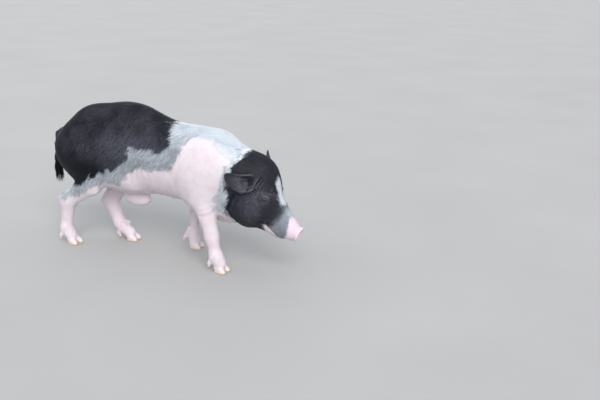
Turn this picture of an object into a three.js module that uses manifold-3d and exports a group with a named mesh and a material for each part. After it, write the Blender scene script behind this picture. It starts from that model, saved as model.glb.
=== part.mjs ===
// A young black-and-white boar, life size, walking with its head down to sniff the ground.
// Millimetres. +X is where it walks to, +Y its left side, +Z up. While it is being built, the ground point
// midway between the fore feet is at zero; at the end the origin moves to the bottom centre of its box.
import * as THREE from "three";
import { mergeVertices } from "three/addons/utils/BufferGeometryUtils.js";
import Module from "manifold-3d";

const wasm = await Module();
wasm.setup();

// ---- Driving dimensions ----
const CLEARANCE = 0.4; // between touching pieces
const RAD = Math.PI / 180;

const SKIN = { black: "#26272b", white: "#ece4e2", pink: "#e6c6cb", horn: "#e8d9c0", eye: "#15100e" };

// ---- The field: distances to rounded masses, blended like flesh over bone ----

// An egg-shaped mass: centre, half sizes, pitch (degrees, nose down positive), and how softly it blends.
function egg([x, y, z], [rx, ry, rz], { pitch = 0, blend = 34 } = {}) {
  const [cosine, sine] = [Math.cos(pitch * RAD), Math.sin(pitch * RAD)];
  const distance = (q) => {
    const [dx, dy, dz] = [q.x - x, q.y - y, q.z - z];
    const [u, v, t] = [(dx * cosine - dz * sine) / rx, dy / ry, (dx * sine + dz * cosine) / rz];
    const k = Math.hypot(u, v, t);
    return (k * (k - 1)) / Math.max(Math.hypot(u / rx, v / ry, t / rz), 1e-6);
  };
  return { distance, blend };
}

// A tapered mass from ball a to ball b, narrower across (along Y) by the factor slim.
function taper([ax, ay, az], ra, [bx, by, bz], rb, { slim = 1, blend = 24 } = {}) {
  const [lx, ly, lz] = [bx - ax, (by - ay) / slim, bz - az];
  const length2 = lx * lx + ly * ly + lz * lz;
  const distance = (q) => {
    const [dx, dy, dz] = [q.x - ax, (q.y - ay) / slim, q.z - az];
    const t = THREE.MathUtils.clamp((dx * lx + dy * ly + dz * lz) / length2, 0, 1);
    return Math.hypot(dx - t * lx, dy - t * ly, dz - t * lz) - (ra + (rb - ra) * t);
  };
  return { distance, blend };
}

// The smooth union of masses, taken in order.
function flesh(masses) {
  return (q) =>
    masses.reduce((near, m) => {
      const d = m.distance(q);
      if (near === null) return d;
      const h = Math.max(m.blend - Math.abs(near - d), 0) / m.blend;
      return Math.min(near, d) - (h * h * m.blend) / 4;
    }, null);
}

// ---- Surfacing: rings of points where rays from an axis leave the flesh ----

const RAY = { step: 4, longest: 600, halvings: 14 };

function surfacePoint(field, from, direction, level) {
  const at = (t) => field(from.clone().addScaledVector(direction, t)) - level;
  let [inside, outside] = [0, RAY.step];
  while (at(outside) < 0 && outside < RAY.longest) {
    inside = outside;
    outside += RAY.step;
  }
  for (let i = 0; i < RAY.halvings; i++) {
    const middle = (inside + outside) / 2;
    if (at(middle) < 0) inside = middle;
    else outside = middle;
  }
  return from.clone().addScaledVector(direction, outside);
}

// A closed mesh round a curved axis. Rays leave the axis square to it, and fan out over both round ends.
function skinOver(field, axisPoints, { stations, sides, capSteps = 3, level = 0 }) {
  const knots = axisPoints.map((p) => new THREE.Vector3(...p));
  const curve = new THREE.CatmullRomCurve3(knots, false, "centripetal");
  const rays = [];
  const station = (t, tilt) => rays.push({ from: curve.getPointAt(t), tangent: curve.getTangentAt(t), tilt });
  for (let i = 0; i <= capSteps; i++) station(0, (i / (capSteps + 1) - 1) * (Math.PI / 2));
  for (let i = 0; i <= stations; i++) station(i / stations, 0);
  for (let i = capSteps; i >= 0; i--) station(1, (1 - i / (capSteps + 1)) * (Math.PI / 2));
  const points = [];
  rays.forEach(({ from, tangent, tilt }, ring) => {
    const across = new THREE.Vector3(0, 1, 0).addScaledVector(tangent, -tangent.y).normalize();
    const up = new THREE.Vector3().crossVectors(tangent, across);
    const pole = ring === 0 || ring === rays.length - 1;
    for (let s = 0; s < (pole ? 1 : sides); s++) {
      const a = ((s + 0.5) / sides) * 2 * Math.PI;
      const direction = new THREE.Vector3()
        .addScaledVector(up, Math.cos(a) * Math.cos(tilt))
        .addScaledVector(across, Math.sin(a) * Math.cos(tilt))
        .addScaledVector(tangent, Math.sin(tilt));
      points.push(surfacePoint(field, from, direction, level));
    }
  });
  return solid(points, tubeFaces(rays.length, sides));
}

// Triangles of a tube of rings, whose first and last rings are single points.
function tubeFaces(rings, sides) {
  const faces = [];
  const id = (ring, s) => (ring === 0 ? 0 : 1 + (ring - 1) * sides + (ring === rings - 1 ? 0 : s % sides));
  for (let r = 0; r < rings - 1; r++) {
    for (let s = 0; s < sides; s++) {
      if (r > 0) faces.push([id(r, s), id(r, s + 1), id(r + 1, s)]);
      if (r < rings - 2) faces.push([id(r, s + 1), id(r + 1, s + 1), id(r + 1, s)]);
    }
  }
  return faces;
}

// ---- Between three.js geometry and solids that can be cut ----

const pig = new THREE.Group();

function solid(points, faces) {
  const make = (order) =>
    new wasm.Manifold(
      new wasm.Mesh({
        numProp: 3,
        vertProperties: new Float32Array(points.flatMap((p) => [p.x, p.y, p.z])),
        triVerts: new Uint32Array(faces.flatMap(order)),
      }),
    );
  const made = make((f) => f);
  return made.volume() > 0 ? made : make((f) => [f[0], f[2], f[1]]);
}

function solidOf(geometry, matrix = new THREE.Matrix4()) {
  const bare = new THREE.BufferGeometry();
  bare.setAttribute("position", geometry.getAttribute("position"));
  if (geometry.index) bare.setIndex(geometry.index);
  const merged = mergeVertices(bare.applyMatrix4(matrix), 1e-3);
  const at = merged.getAttribute("position");
  const points = Array.from({ length: at.count }, (_, i) => new THREE.Vector3().fromBufferAttribute(at, i));
  const index = Array.from(merged.index.array);
  const faces = Array.from({ length: index.length / 3 }, (_, i) => index.slice(3 * i, 3 * i + 3));
  return solid(points, faces.filter((f) => new Set(f).size === 3));
}

function addPart(name, made, colour, roughness = 0.7) {
  const data = made.getMesh();
  const geometry = new THREE.BufferGeometry();
  geometry.setAttribute("position", new THREE.BufferAttribute(new Float32Array(data.vertProperties), 3));
  geometry.setIndex(new THREE.BufferAttribute(new Uint32Array(data.triVerts), 1));
  geometry.computeVertexNormals();
  const mesh = new THREE.Mesh(geometry, new THREE.MeshStandardMaterial({ color: colour, roughness }));
  mesh.name = name;
  pig.add(mesh);
}

// A block that holds all that lies ahead of a plane across the body, through top and bottom, each [x, z].
function ahead(top, bottom, gap) {
  const size = 1600;
  const lean = Math.atan2(top[0] - bottom[0], top[1] - bottom[1]);
  const matrix = new THREE.Matrix4()
    .makeTranslation(bottom[0], 0, bottom[1])
    .multiply(new THREE.Matrix4().makeRotationY(lean))
    .multiply(new THREE.Matrix4().makeTranslation(size / 2 + gap, 0, 0));
  return solidOf(new THREE.BoxGeometry(size, size, size), matrix);
}

// ---- The body's masses ----

const both = (make) => [make(1), make(-1)];

// Joints of each leg from the top down. The last is where the middle of the foot meets the ground.
const foot = (x, y) => [x, y, 0];
const JOINTS = {
  foreleg_right: [[30, -78, 345], [50, -88, 268], [83, -96, 148], [102, -96, 66], foot(118, -95)],
  foreleg_left: [[10, 78, 345], [-26, 88, 266], [-106, 95, 164], [-116, 95, 66], foot(-112, 95)],
  hindleg_right: [[-560, -72, 385], [-484, -94, 306], [-630, -104, 200], [-650, -103, 66], foot(-622, -100)],
  hindleg_left: [[-545, 72, 385], [-452, 88, 298], [-538, 74, 164], [-476, 58, 60], foot(-416, 52)],
};

// The part of a leg that is bound into the body's skin, from its top joint to a little short of the next.
function upperLeg([from, to], radii, slim) {
  return taper(from, radii[0], from.map((v, i) => v + (to[i] - v) * 0.8), radii[1], { slim, blend: 36 });
}

const TORSO = [
  egg([-360, 0, 442], [250, 137, 206]), // belly and loin
  egg([-120, 0, 418], [230, 135, 164], { pitch: 5, blend: 50 }), // ribs
  taper([-530, 0, 488], 132, [-630, 0, 422], 111, { slim: 0.94, blend: 50 }), // croup
  ...both((side) => egg([-572, side * 68, 400], [116, 64, 134], { pitch: -24, blend: 50 })), // hams
  ...both((side) => egg([24, side * 74, 400], [92, 64, 162], { pitch: 14, blend: 40 })), // shoulders
  egg([60, 0, 322], [105, 94, 102], { blend: 50 }), // brisket
  upperLeg(JOINTS.foreleg_right, [62, 52], 0.8),
  upperLeg(JOINTS.foreleg_left, [62, 52], 0.8),
  upperLeg(JOINTS.hindleg_right, [80, 62], 0.68),
  upperLeg(JOINTS.hindleg_left, [80, 62], 0.68),
  ...both((side) => taper([-300, side * 92, 312], 20, [-425, side * 96, 330], 24, { blend: 40 })), // flank
  ...both((side) => egg([-664, side * 25, 372], [40, 28, 46], { blend: 24 })), // scrotum
];

const NECK = [
  taper([0, 0, 432], 138, [175, 0, 388], 124, { slim: 0.9, blend: 50 }), // neck
  egg([110, 0, 268], [104, 60, 90], { blend: 40 }), // loose throat
];

const EYE = { at: [318, 70, 339], radius: 12 };

const HEAD = [
  egg([256, 0, 390], [84, 77, 97], { blend: 40 }), // skull
  ...both((side) => egg([232, side * 52, 286], [82, 54, 92], { pitch: 14, blend: 40 })), // jowls
  taper([290, 0, 360], 50, [333, 0, 276], 40, { slim: 1.1, blend: 30 }), // face
  taper([333, 0, 276], 40, [388, 0, 206], 35, { slim: 1.05, blend: 20 }), // bridge of the nose
  taper([300, 0, 248], 60, [414, 0, 184], 34, { slim: 1, blend: 22 }), // upper jaw
  taper([235, 0, 262], 61, [345, 0, 181], 29, { slim: 1.1, blend: 20 }), // lower jaw
];

const bodyField = flesh([...TORSO, ...NECK, ...HEAD]);

const TRUNK_AXIS = [[-610, 0, 455], [-400, 0, 450], [-150, 0, 425], [40, 0, 400], [180, 0, 370]];
const NECK_AXIS = [[-40, 0, 415], [60, 0, 400], [180, 0, 370], [250, 0, 350]];
const HEAD_AXIS = [[120, 0, 385], [200, 0, 365], [265, 0, 325], [325, 0, 262], [420, 0, 191]];
const SHOULDER_CUT = [[62, 640], [128, 150]];
const POLL_CUT = [[228, 560], [142, 150]];

const trunkWhole = (level) => skinOver(bodyField, TRUNK_AXIS, { stations: 26, sides: 28, level });
const neckWhole = (level) => skinOver(bodyField, NECK_AXIS, { stations: 12, sides: 28, level });
const headWhole = (level) => skinOver(bodyField, HEAD_AXIS, { stations: 24, sides: 30, level });

// ---- Legs ----

function foreleg([arm, elbow, carpus, fetlock, foot], girth) {
  const pastern = [foot[0] + 3, foot[1], 31];
  const masses = [
    taper(arm, 52, elbow, 47, { slim: 0.8 }),
    taper(elbow, 47, carpus, 31 * girth, { slim: 0.88, blend: 20 }),
    egg([carpus[0] + 2, carpus[1], carpus[2]], [32 * girth, 30 * girth, 38], { blend: 14 }),
    taper(carpus, 28 * girth, fetlock, 25 * girth, { slim: 1.02, blend: 14 }),
    egg(fetlock, [31 * girth, 31 * girth, 28], { blend: 16 }),
    taper(fetlock, 26 * girth, pastern, 28, { slim: 1.12, blend: 14 }),
  ];
  return { field: flesh(masses), axis: [arm, elbow, carpus, fetlock, pastern] };
}

function hindleg([thigh, stifle, hock, fetlock, foot], girth) {
  const heel = [hock[0] - 35, hock[1], hock[2] + 3];
  const pastern = [foot[0] - 4, foot[1], 30];
  const masses = [
    taper(thigh, 68, stifle, 60, { slim: 0.7 }),
    taper(stifle, 61, hock, 38 * girth, { slim: 0.74, blend: 24 }),
    taper(heel, 24, hock, 38 * girth, { slim: 0.82, blend: 22 }),
    taper(hock, 39 * girth, fetlock, 28 * girth, { slim: 0.82, blend: 16 }),
    egg(fetlock, [32 * girth, 30, 29], { blend: 16 }),
    taper(fetlock, 26, pastern, 27, { slim: 1.12, blend: 14 }),
  ];
  const knee = stifle.map((v, i) => v / 2 + (thigh[i] + hock[i]) / 4); // inside the bend
  return { field: flesh(masses), axis: [thigh, knee, hock, fetlock, pastern] };
}

const LEGS = {
  foreleg_right: foreleg(JOINTS.foreleg_right, 1),
  foreleg_left: foreleg(JOINTS.foreleg_left, 0.82),
  hindleg_right: hindleg(JOINTS.hindleg_right, 0.95),
  hindleg_left: hindleg(JOINTS.hindleg_left, 1),
};

// How each foot is turned, toes in or out, and how its dewclaws lean: degrees ahead of straight down.
const FEET = {
  foreleg_right: { turn: -3, lean: -12 },
  foreleg_left: { turn: 3, lean: -40 },
  hindleg_right: { turn: -4, lean: -8 },
  hindleg_left: { turn: 4, lean: 26 },
};

// ---- Claws ----

const CLAW = { length: 58, width: 27, height: 36, level: 0.3, drop: 0.72, spread: 15.5, flare: 8, ahead: 12 };
const DEWCLAW = { length: 33, radius: 8.5, back: 13, out: 18, down: 22 };

// One claw: flat sole on the ground, blunt at both ends, its wall level over the heel and sloping to the toe.
function claw(grow = 0) {
  const [sides, stations] = [8, 8];
  const { length, width, height, level, drop } = CLAW;
  const points = [new THREE.Vector3(-length / 2 - grow, 0, 0.3 * height)];
  for (let i = 1; i < stations; i++) {
    const t = i / stations;
    const half = (width / 2) * Math.sqrt(1 - Math.abs(2 * t - 1) ** 3) + grow;
    const top = height * (1 - drop * Math.max(0, (t - level) / (1 - level)) ** 1.3);
    for (let s = 0; s < sides; s++) {
      const a = ((s + 0.5) / sides) * 2 * Math.PI;
      const z = Math.cos(a) < 0 ? -grow : Math.cos(a) ** 0.6 * top + grow;
      points.push(new THREE.Vector3((t - 0.5) * length - 0.1 * z, Math.sin(a) * half * (1 - 0.005 * z), z));
    }
  }
  points.push(new THREE.Vector3(length / 2 + grow, 0, 3));
  return solid(points, tubeFaces(stations + 1, sides));
}

function lathe(profile, sides) {
  return new THREE.LatheGeometry(profile.map(([r, h]) => new THREE.Vector2(r, h)), sides);
}

function dewclaw(grow = 0) {
  const { length, radius } = DEWCLAW;
  const profile = [
    [0, -grow],
    [radius * 0.8 + grow, -grow],
    [radius + grow, length * 0.35],
    [radius * 0.72 + grow, length * 0.75],
    [0, length + grow],
  ];
  return solidOf(lathe(profile, 8));
}

const placed = (made, matrix) => made.transform(matrix.elements);

// A foot's two claws and two dewclaws, the ones on the pig's left first.
function footPieces(name, grow) {
  const { turn, lean } = FEET[name];
  const ankle = JOINTS[name][3];
  const claws = both((out) => {
    const foot = new THREE.Matrix4().makeRotationZ(turn * RAD).setPosition(...JOINTS[name][4]);
    const own = new THREE.Matrix4().makeRotationZ(out * CLAW.flare * RAD);
    own.setPosition(CLAW.ahead, out * CLAW.spread, 0);
    return placed(claw(grow), foot.multiply(own));
  });
  const dewclaws = both((out) => {
    const limb = new THREE.Matrix4().makeRotationY((180 - lean) * RAD).setPosition(...ankle);
    const own = new THREE.Matrix4().makeRotationX(Math.PI / 2);
    own.setPosition(DEWCLAW.back, out * DEWCLAW.out, DEWCLAW.down);
    return placed(dewclaw(grow), limb.multiply(own));
  });
  return [...claws, ...dewclaws];
}

// ---- Ears, eyes, tail ----

// A cupped leaf: root in the head, tip out and back. Its hollow opens outwards, down and ahead.
const EAR = { length: 118, width: 86, thick: 7, cup: 0.5, curl: 10, roll: 78, hang: 15 };
const EARS = {
  left: { side: 1, root: [262, 84, 425], back: 124, rise: 11 }, // pricked a little more
  right: { side: -1, root: [260, -88, 407], back: 141, rise: 7 },
};

function ear({ side, root, back, rise }) {
  const [stations, across] = [9, 7];
  const basis = new THREE.Matrix4()
    .makeTranslation(...root)
    .multiply(new THREE.Matrix4().makeRotationZ(side * back * RAD))
    .multiply(new THREE.Matrix4().makeRotationY(-rise * RAD))
    .multiply(new THREE.Matrix4().makeRotationX(side * EAR.roll * RAD));
  const local = (t, v, skin) => {
    const outline = Math.sin(Math.PI * Math.min(0.5, 0.34 + t * 0.42)) * Math.sqrt(1 - t ** 2.2);
    const half = (EAR.width / 2) * outline;
    const bend = EAR.cup * (1 - 0.55 * t) * half * v * v;
    const thick = (EAR.thick / 2) * (1 - 0.5 * t) * (1 - 0.45 * v * v);
    const droop = EAR.hang * (t - Math.sin(Math.PI * t));
    const height = bend - half * 0.3 + skin * thick + EAR.curl * t * t;
    return new THREE.Vector3(t * EAR.length, (v * half + droop) * side, height);
  };
  const points = [local(0, 0, 0).add(new THREE.Vector3(-8, 0, 0))]; // the root, inside the head
  for (let i = 0; i < stations; i++) {
    const t = i / stations;
    for (let k = 0; k < across; k++) points.push(local(t, (2 * k) / (across - 1) - 1, 1));
    for (let k = across - 2; k > 0; k--) points.push(local(t, (2 * k) / (across - 1) - 1, -1));
  }
  points.push(local(1, 0, 0));
  const sides = 2 * across - 2;
  return solid(points.map((p) => p.applyMatrix4(basis)), tubeFaces(stations + 2, sides));
}

function eyeball(side, grow = 0) {
  const [x, y, z] = EYE.at;
  const place = new THREE.Matrix4().makeTranslation(x, side * y, z);
  return solidOf(new THREE.SphereGeometry(EYE.radius + grow, 12, 8), place);
}

const TAIL = {
  axis: [[-700, 0, 486], [-742, 3, 468], [-760, 7, 430], [-766, 10, 370], [-762, 10, 300]],
  field: flesh([
    taper([-700, 0, 486], 21, [-746, 4, 462], 16, { blend: 20 }),
    taper([-746, 4, 464], 16, [-762, 8, 410], 11, { blend: 12 }),
    taper([-762, 8, 410], 11, [-766, 10, 350], 8, { blend: 12 }),
    taper([-766, 10, 350], 13, [-762, 10, 275], 11, { blend: 14 }),
  ]),
};

// A flat round plate of gristle with a raised rim, square to the end of the muzzle.
const SNOUT = { at: [421, 0, 186], pitch: 22, radius: 34, depth: 15 };
const SNOUT_CUT = [0, 50].map((down) => [
  SNOUT.at[0] - down * Math.sin(SNOUT.pitch * RAD),
  SNOUT.at[2] - down * Math.cos(SNOUT.pitch * RAD),
]);

function snout() {
  const { radius: r, depth: d } = SNOUT;
  const wall = [[0, 0], [r - 3, 0], [r, d * 0.4], [r - 1, d * 0.85]];
  const rim = [[r - 6, d], [r - 10, d - 2], [0, d - 1]];
  const place = new THREE.Matrix4()
    .makeRotationY((90 + SNOUT.pitch) * RAD)
    .multiply(new THREE.Matrix4().makeRotationX(Math.PI / 2))
    .setPosition(...SNOUT.at);
  return solidOf(lathe([...wall, ...rim], 20), place);
}

const SHEATH = {
  axis: [[-388, 0, 232], [-292, 0, 232]],
  field: flesh([egg([-338, 0, 226], [72, 31, 41])]),
};

// ---- Assembly ----

const trunkGrown = trunkWhole(CLEARANCE);

let head = headWhole(0)
  .intersect(ahead(...POLL_CUT, CLEARANCE / 2))
  .subtract(ahead(...SNOUT_CUT, -CLEARANCE));
const neck = neckWhole(0)
  .intersect(ahead(...SHOULDER_CUT, CLEARANCE / 2))
  .subtract(ahead(...POLL_CUT, -CLEARANCE / 2));
const trunk = trunkWhole(0).subtract(ahead(...SHOULDER_CUT, -CLEARANCE / 2));
const sheath = skinOver(SHEATH.field, SHEATH.axis, { stations: 5, sides: 12, capSteps: 2 });
const tail = skinOver(TAIL.field, TAIL.axis, { stations: 12, sides: 8, capSteps: 1 });

addPart("trunk", trunk, SKIN.black);
addPart("sheath", sheath.subtract(trunkGrown), SKIN.pink);
addPart("neck", neck, SKIN.white);

for (const [name, side] of [["left", 1], ["right", -1]]) {
  head = head.subtract(eyeball(side, CLEARANCE));
  addPart(`eye_${name}`, eyeball(side), SKIN.eye, 0.1);
}
addPart("head", head, SKIN.black);
addPart("snout", snout(), SKIN.pink);

for (const [name, place] of Object.entries(EARS)) {
  const made = ear(place).subtract(headWhole(CLEARANCE)).subtract(neckWhole(CLEARANCE));
  addPart(`ear_${name}`, made, SKIN.black);
}

for (const [name, { field, axis }] of Object.entries(LEGS)) {
  let leg = skinOver(field, axis, { stations: 16, sides: 12, capSteps: 2 }).subtract(trunkGrown);
  for (const grown of footPieces(name, CLEARANCE)) leg = leg.subtract(grown);
  addPart(name, leg, SKIN.pink);
  const foot = name.replace("leg", "");
  const sides = name.endsWith("left") ? ["outer", "inner"] : ["inner", "outer"];
  const names = ["claw", "dewclaw"].flatMap((kind) => sides.map((side) => `${kind}_${side}_${foot}`));
  footPieces(name, 0).forEach((piece, i) => addPart(names[i], piece, SKIN.horn, 0.45));
}

addPart("tail", tail.subtract(trunkGrown), SKIN.black);

const box = new THREE.Box3().setFromObject(pig);
pig.position.set(-(box.min.x + box.max.x) / 2, -(box.min.y + box.max.y) / 2, -box.min.z);

export default pig;
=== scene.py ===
"""A young black-and-white boar, life size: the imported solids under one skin, with eyes, claws and coat."""
import math

import bmesh
import bpy
import numpy as np
import openvdb as vdb
from mathutils import Matrix, Vector


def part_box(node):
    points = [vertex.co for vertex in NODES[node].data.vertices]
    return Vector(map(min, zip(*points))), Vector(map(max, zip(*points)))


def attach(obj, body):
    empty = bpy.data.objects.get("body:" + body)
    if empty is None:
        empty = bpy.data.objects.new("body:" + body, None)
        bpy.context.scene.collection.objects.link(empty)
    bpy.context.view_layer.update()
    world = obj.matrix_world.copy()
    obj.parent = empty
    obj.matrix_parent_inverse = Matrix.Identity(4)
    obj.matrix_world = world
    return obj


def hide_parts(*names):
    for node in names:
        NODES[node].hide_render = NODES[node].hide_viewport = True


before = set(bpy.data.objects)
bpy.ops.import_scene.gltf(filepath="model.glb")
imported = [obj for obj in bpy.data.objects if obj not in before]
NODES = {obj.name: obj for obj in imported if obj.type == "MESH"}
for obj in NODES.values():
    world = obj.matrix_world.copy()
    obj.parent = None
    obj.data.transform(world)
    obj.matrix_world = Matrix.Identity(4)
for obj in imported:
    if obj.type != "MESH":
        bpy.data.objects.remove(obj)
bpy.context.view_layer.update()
RNG = np.random.default_rng(7)


def middle(node):
    low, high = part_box(node)
    return (low + high) / 2


# Places are given in millimetres from the ground point between the fore feet, x ahead, y left, z up.
EYE = (318.0, 70.0, 339.0)  # the middle of the solid eye
ZERO = (middle("eye_left") + middle("eye_right")) / 2 - Vector((EYE[0], 0, EYE[2])) / 1000


def place(x, y, z):
    return ZERO + Vector((x, y, z)) / 1000


def drawn(points):
    """Points of the frame, in metres, as places in millimetres."""
    return (points - np.array(ZERO)) * 1000.0


def framed(places):
    """Places in millimetres as points of the frame, in metres."""
    return places / 1000 + np.array(ZERO)


def drawn_box(node):
    """The lowest and the highest place of a solid's box."""
    return [drawn(np.array(corner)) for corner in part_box(node)]


def smooth(low, high, value):
    t = np.clip((value - low) / (high - low), 0.0, 1.0)
    return t * t * (3 - 2 * t)


def mix(a, b, share):
    return a + (b - a) * share


def unit(vectors):
    return vectors / np.maximum(np.linalg.norm(vectors, axis=1, keepdims=True), 1e-9)


# The corners of a cube of side 1, from its lowest.
CUBE = [np.array([k & 1, k >> 1 & 1, k >> 2 & 1]) for k in range(8)]


# ---- Camera and light ----

CAMERA_AT = (1612, -2782, 1300)


def make_camera():
    turn, down, roll = math.radians(23.0), math.radians(17.8), 0.027
    ahead = Vector((-math.sin(turn), math.cos(turn), 0))
    right = Vector((math.cos(turn), math.sin(turn), 0))
    rise = Vector((0, 0, 1))
    look = ahead * math.cos(down) - rise * math.sin(down)
    top = ahead * math.sin(down) + rise * math.cos(down)
    x_axis = right * math.cos(roll) + top * math.sin(roll)
    y_axis = top * math.cos(roll) - right * math.sin(roll)
    data = bpy.data.cameras.new("camera")
    data.lens, data.sensor_width = 48.0, 36.0
    data.clip_end = 200.0
    camera = bpy.data.objects.new("camera", data)
    axes = Matrix((x_axis, y_axis, -look)).transposed().to_4x4()
    camera.matrix_world = Matrix.Translation(place(*CAMERA_AT)) @ axes
    bpy.context.scene.collection.objects.link(camera)
    bpy.context.scene.camera = camera


def make_sun(name, towards, strength, angle, colour):
    """A wide sun: soft shadows, and the same light all over the floor."""
    data = bpy.data.lights.new(name, "SUN")
    data.energy, data.angle, data.color = strength, math.radians(angle), colour
    light = bpy.data.objects.new(name, data)
    light.rotation_euler = Vector(towards).to_track_quat("-Z", "Y").to_euler()
    bpy.context.scene.collection.objects.link(light)


make_camera()
make_sun("key", (-0.8, 1.15, -1.1), 2.5, 40, (1.0, 0.985, 0.97))
make_sun("fill", (1.0, -0.25, -0.9), 0.8, 90, (0.90, 0.95, 1.0))
world = bpy.data.worlds.new("world")
world.use_nodes = True
world.node_tree.nodes["Background"].inputs["Color"].default_value = (0.90, 0.94, 1.0, 1)
world.node_tree.nodes["Background"].inputs["Strength"].default_value = 0.85
bpy.context.scene.world = world
bpy.context.scene.view_settings.view_transform = "Standard"


# ---- Meshes from arrays ----

def new_piece(name, points, faces):
    """A mesh object. Faces is an array, or a list of arrays that differ in their faces' number of corners."""
    groups = [g for g in (faces if isinstance(faces, list) else [faces]) if len(g)]
    corners = np.concatenate([g.ravel() for g in groups]).astype(np.int32)
    sizes = np.concatenate([np.full(len(g), g.shape[1], np.int32) for g in groups])
    mesh = bpy.data.meshes.new(name)
    mesh.vertices.add(len(points))
    mesh.vertices.foreach_set("co", np.asarray(points, np.float32).ravel())
    mesh.loops.add(len(corners))
    mesh.loops.foreach_set("vertex_index", corners)
    mesh.polygons.add(len(sizes))
    mesh.polygons.foreach_set("loop_start", (np.cumsum(sizes) - sizes).astype(np.int32))
    mesh.polygons.foreach_set("use_smooth", np.full(len(sizes), True))
    mesh.update(calc_edges=True)
    piece = bpy.data.objects.new(name, mesh)
    bpy.context.scene.collection.objects.link(piece)
    return piece


def read(items, name, width, kind=np.float32):
    """A value of every vertex, triangle or corner of a mesh, as an array."""
    found = np.empty(len(items) * width, kind)
    items.foreach_get(name, found)
    return found.reshape(-1, width)


def points_of(mesh):
    return read(mesh.vertices, "co", 3).astype(np.float64)


def triangles_of(mesh):
    mesh.calc_loop_triangles()
    return read(mesh.loop_triangles, "vertices", 3, np.int32)


# ---- The flesh as a field of distances ----

VOXEL = 0.0025
GAP = 0.001  # wider than the gaps between the solids
BAND = 10  # voxels to each side of the surface
JOIN = 0.010  # how softly one part of the flesh runs into the next


def level_set(points, triangles, quads, voxel):
    return vdb.FloatGrid.createLevelSetFromPolygons(
        np.ascontiguousarray(points, np.float32),
        triangles=np.ascontiguousarray(triangles, np.uint32),
        quads=quads,
        transform=vdb.createLinearTransform(voxelSize=voxel),
        halfWidth=float(BAND),
    )


def joined(meshes):
    points, faces, start = [], [], 0
    for p, f in meshes:
        points.append(p)
        faces.append(f + start)
        start += len(p)
    return np.concatenate(points), np.concatenate(faces)


def solids(*names):
    return [(points_of(NODES[n].data), triangles_of(NODES[n].data)) for n in names]


class Field:
    """Distances in metres to a surface at the points of a block, negative inside."""

    def __init__(self, low, values, voxel):
        self.low, self.values, self.voxel = low, values, voxel

    @classmethod
    def of(cls, meshes, voxel=VOXEL):
        """The field round meshes that touch or overlap, without the walls between them."""
        points, triangles = joined(meshes)
        low = np.floor(points.min(0) / voxel).astype(int) - BAND - 1
        shape = np.ceil(points.max(0) / voxel).astype(int) + BAND + 1 - low
        shell = level_set(points, triangles, None, voxel)
        points, triangles, quads = shell.convertToPolygons(GAP, 0.0)
        values = np.empty(tuple(shape), np.float32)
        level_set(points, triangles, quads, voxel).copyToArray(values, ijk=tuple(map(int, low)))
        return cls(low, values + np.float32(GAP), voxel)

    def window(self, low, high):
        """The part of the block between two places, in millimetres, and its points' places."""
        low, high = (np.asarray(place(*p)) / self.voxel - self.low for p in (low, high))
        first = np.clip(np.floor(low), 0, self.values.shape).astype(int)
        last = np.clip(np.ceil(high) + 1, 0, self.values.shape).astype(int)
        part = self.values[tuple(slice(a, b) for a, b in zip(first, last))]
        at = []
        for axis in range(3):
            steps = self.low[axis] + np.arange(first[axis], last[axis])
            shape = [-1 if a == axis else 1 for a in range(3)]
            at.append(((steps * self.voxel - ZERO[axis]) * 1000).astype(np.float32).reshape(shape))
        return part, at

    def near(self, path, pad):
        """The part of the block round a path of places, with its points' places."""
        return self.window(np.min(path, 0) - pad, np.max(path, 0) + pad)

    def everywhere(self):
        return self.window((-9999,) * 3, (9999,) * 3)[1]

    def blurred(self, sigma):
        """A copy blurred by a bell curve of this width in millimetres."""
        width = sigma / 1000 / self.voxel
        reach = int(math.ceil(2.6 * width))
        taps = np.exp(-0.5 * (np.arange(reach + 1) / width) ** 2)
        taps = (taps / (taps[0] + 2 * taps[1:].sum())).astype(np.float32)
        source = self.values
        for axis in range(3):
            source = np.moveaxis(source, axis, 0)
            out = source * taps[0]
            for k in range(1, reach + 1):
                out[k:] += source[:-k] * taps[k]
                out[:-k] += source[k:] * taps[k]
                out[:k] += source[:1] * taps[k]
                out[-k:] += source[-1:] * taps[k]
            source = np.moveaxis(out, 0, axis)
        return Field(self.low, np.ascontiguousarray(source), self.voxel)

    def joined_to(self, other, reach):
        """Joins another field of the same voxels to this one, softly over reach metres."""
        shape = np.array(self.values.shape)
        first = np.clip(other.low - self.low, 0, shape)
        last = np.clip(other.low + other.values.shape - self.low, 0, shape)
        mine = tuple(slice(a, b) for a, b in zip(first, last))
        start, end = first + self.low - other.low, last + self.low - other.low
        a, b = self.values[mine], other.values[tuple(slice(p, q) for p, q in zip(start, end))]
        h = np.maximum(reach - np.abs(a - b), 0) / reach
        self.values[mine] = np.minimum(a, b) - h * h * reach / 4

    def sample(self, points):
        """The field between its points, by its value at the eight round each place."""
        at = points / self.voxel - self.low
        base = np.clip(np.floor(at).astype(int), 0, np.array(self.values.shape) - 2)
        part = np.clip(at - base, 0, 1)
        total = np.zeros(len(points))
        for step in CUBE:
            share = np.prod(np.where(step, part, 1 - part), axis=1)
            i, j, k = (base + step).T
            total += share * self.values[i, j, k]
        return total

    def slope(self, points, step=0.002):
        """The direction out of the flesh, of length 1."""
        out = np.empty_like(points)
        for axis in range(3):
            shift = np.zeros(3)
            shift[axis] = step
            out[:, axis] = self.sample(points + shift) - self.sample(points - shift)
        return unit(out)

    def surface(self):
        """The points and faces of the surface."""
        grid = vdb.FloatGrid(float(BAND * self.voxel))
        grid.transform = vdb.createLinearTransform(voxelSize=self.voxel)
        grid.copyFromArray(self.values, ijk=tuple(map(int, self.low)), tolerance=0.0)
        points, triangles, quads = grid.convertToPolygons(0.0, 0.0)
        return points, [triangles, quads]


# ---- Modelling the field, in millimetres, on both sides unless one is named ----

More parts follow.
